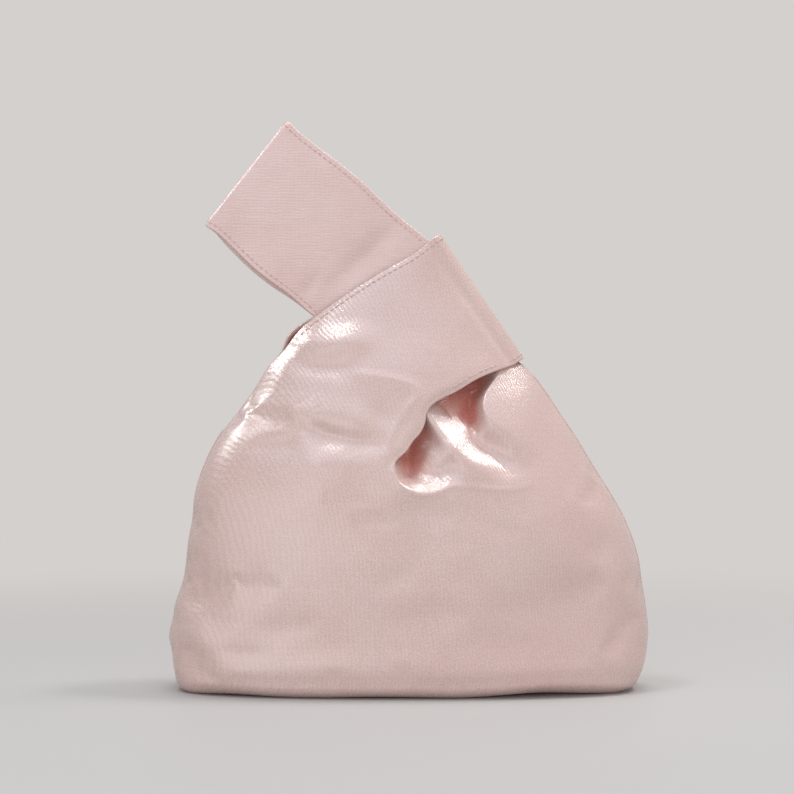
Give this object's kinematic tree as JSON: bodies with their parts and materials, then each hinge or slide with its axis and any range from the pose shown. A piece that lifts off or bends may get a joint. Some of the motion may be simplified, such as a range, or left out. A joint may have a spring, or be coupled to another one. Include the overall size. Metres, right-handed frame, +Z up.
{
  "type": "japanese knot bag",
  "caption": "Soft satin pouch on a flat base, closed by threading its long loop handle through its short, folded loop handle; the long handle slides out and flops to either side.",
  "frame": {"origin": "bottom centre of the bounding box, on the surface that the bag stands on", "axes": "+Z up, +X to the right seen from the front, +Y to the back"},
  "size_m": [0.2289, 0.0928, 0.2717],
  "materials": {
    "satin": "pearly satin",
    "lining": "plain weave",
    "interfacing": "matt felted",
    "thread": "matt"
  },
  "bodies": {
    "bag": {"front_panel": "satin", "back_panel": "satin", "front_interfacing": "interfacing", "back_interfacing": "interfacing", "front_lining": "lining", "back_lining": "lining", "left_side_seam": "thread", "right_side_seam": "thread", "base_seam": "thread", "short_handle": "satin", "short_handle_interfacing": "interfacing", "short_handle_lining": "lining", "short_handle_upper_topstitch": "thread", "short_handle_lower_topstitch": "thread"},
    "long_handle_tail": {"long_handle_front_tail": "satin", "long_handle_back_tail": "satin"},
    "long_handle_loop": {"long_handle": "satin", "long_handle_interfacing": "interfacing", "long_handle_lining": "lining", "long_handle_upper_topstitch": "thread", "long_handle_lower_topstitch": "thread", "long_handle_front_bend": "satin", "long_handle_back_bend": "satin"}
  },
  "joints": [
    {"name": "long_handle_pull", "type": "slide", "parent": "bag", "child": "long_handle_tail", "axis": [-0.7604, 0, 0.6494], "range_m": [0, 0.03]},
    {"name": "long_handle_swing", "type": "hinge", "parent": "long_handle_tail", "child": "long_handle_loop", "pos_m": [-0.02268, 0, 0.2008], "axis": [0.8192, 0, 0.5736], "range_deg": [-75, 75], "deforming": ["long_handle_front_bend", "long_handle_back_bend"]}
  ]
}
